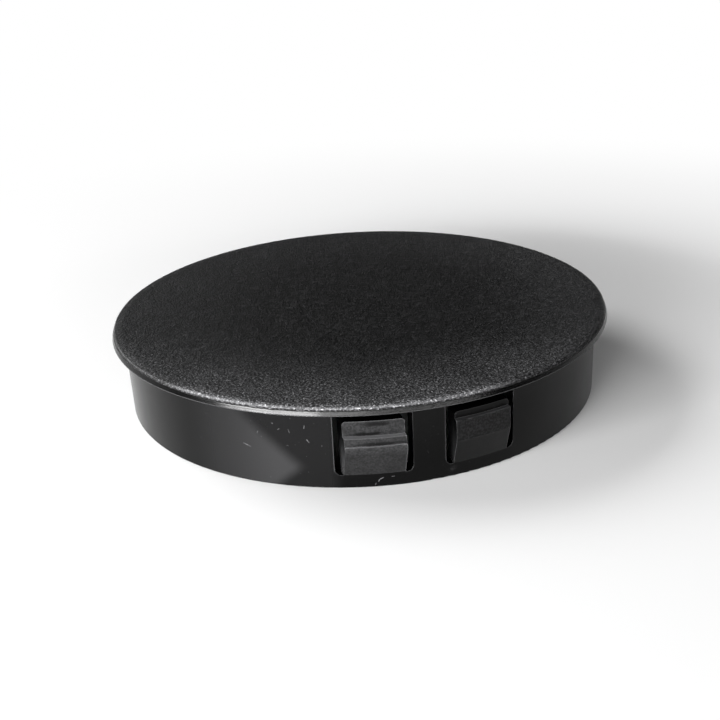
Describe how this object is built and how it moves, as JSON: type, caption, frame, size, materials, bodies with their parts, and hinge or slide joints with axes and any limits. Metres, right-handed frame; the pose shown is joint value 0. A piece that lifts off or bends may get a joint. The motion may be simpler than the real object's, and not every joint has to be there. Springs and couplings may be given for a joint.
{
  "type": "plastic hole plug",
  "caption": "Snap-in round hole plug: flat grained cap with a thin flange, a short hollow skirt and snap fingers cut out of the skirt in pairs.",
  "frame": {"origin": "centre of the flange's seating face, on the plug's axis: the middle of the hole at the panel's outer face", "axes": "+Z along the plug's axis, out of the panel through the cap; -Y towards the first pair of snap fingers; X along that pair, with the stepped finger at -X"},
  "size_m": [0.066, 0.066, 0.0109],
  "materials": {
    "black_plastic": "black moulded plastic, fine pebble grain on the cap, smoother semi-gloss skirt"
  },
  "bodies": {
    "root": {"hole_plug": "black_plastic"}
  },
  "joints": []
}
